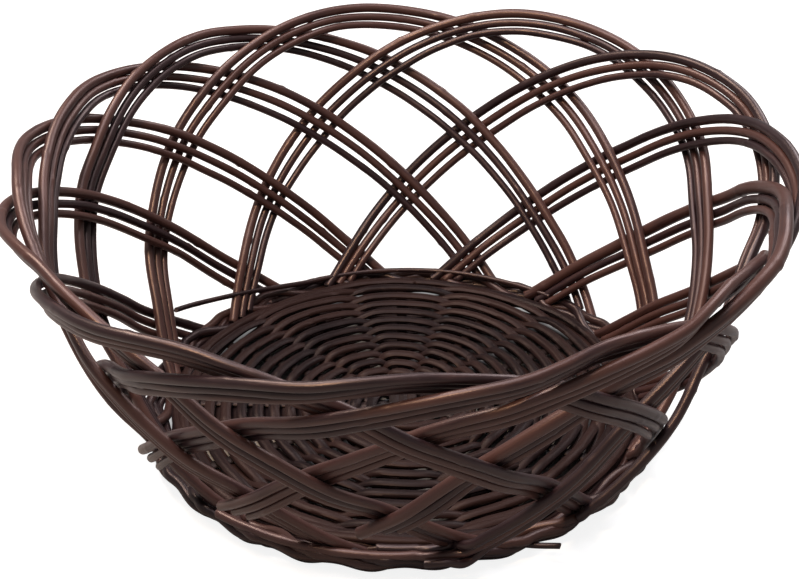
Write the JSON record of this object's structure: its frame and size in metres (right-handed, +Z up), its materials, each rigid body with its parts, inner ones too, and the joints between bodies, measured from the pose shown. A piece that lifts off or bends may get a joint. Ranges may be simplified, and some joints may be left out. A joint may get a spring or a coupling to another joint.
{
  "type": "woven fruit basket",
  "caption": "Open round fruit basket of dark stained willow: scalloped arches of three rods cross in a lattice over a woven floor.",
  "frame": {"origin": "middle of the foot, on the surface that the basket stands on", "axes": "+Z up, out of the open top; the view in the picture looks along +Y"},
  "size_m": [0.2598, 0.2735, 0.1042],
  "materials": {
    "arch_willow": "dark brown stain, satin, with copper lights",
    "stick_willow": "very dark brown stain, satin",
    "floor_willow": "very dark brown stain, satin",
    "foot_willow": "dark brown stain, satin"
  },
  "bodies": {
    "root": {"arch_01_outer": "arch_willow", "arch_01_middle": "arch_willow", "arch_01_inner": "arch_willow", "arch_02_outer": "arch_willow", "arch_02_middle": "arch_willow", "arch_02_inner": "arch_willow", "arch_03_outer": "arch_willow", "arch_03_middle": "arch_willow", "arch_03_inner": "arch_willow", "arch_04_outer": "arch_willow", "arch_04_middle": "arch_willow", "arch_04_inner": "arch_willow", "arch_05_outer": "arch_willow", "arch_05_middle": "arch_willow", "arch_05_inner": "arch_willow", "arch_06_outer": "arch_willow", "arch_06_middle": "arch_willow", "arch_06_inner": "arch_willow", "arch_07_outer": "arch_willow", "arch_07_middle": "arch_willow", "arch_07_inner": "arch_willow", "arch_08_outer": "arch_willow", "arch_08_middle": "arch_willow", "arch_08_inner": "arch_willow", "arch_09_outer": "arch_willow", "arch_09_middle": "arch_willow", "arch_09_inner": "arch_willow", "arch_10_outer": "arch_willow", "arch_10_middle": "arch_willow", "arch_10_inner": "arch_willow", "arch_11_outer": "arch_willow", "arch_11_middle": "arch_willow", "arch_11_inner": "arch_willow", "arch_12_outer": "arch_willow", "arch_12_middle": "arch_willow", "arch_12_inner": "arch_willow", "arch_13_outer": "arch_willow", "arch_13_middle": "arch_willow", "arch_13_inner": "arch_willow", "floor_stick_1": "stick_willow", "floor_stick_2": "stick_willow", "floor_stick_3": "stick_willow", "floor_stick_4": "stick_willow", "floor_stick_5": "stick_willow", "floor_stick_6": "stick_willow", "floor_weave_upper": "floor_willow", "floor_weave_lower": "floor_willow", "foot_wale_1": "foot_willow", "foot_wale_2": "foot_willow", "foot_wale_3": "foot_willow", "foot_lining_1": "foot_willow", "foot_lining_2": "foot_willow"}
  },
  "joints": []
}
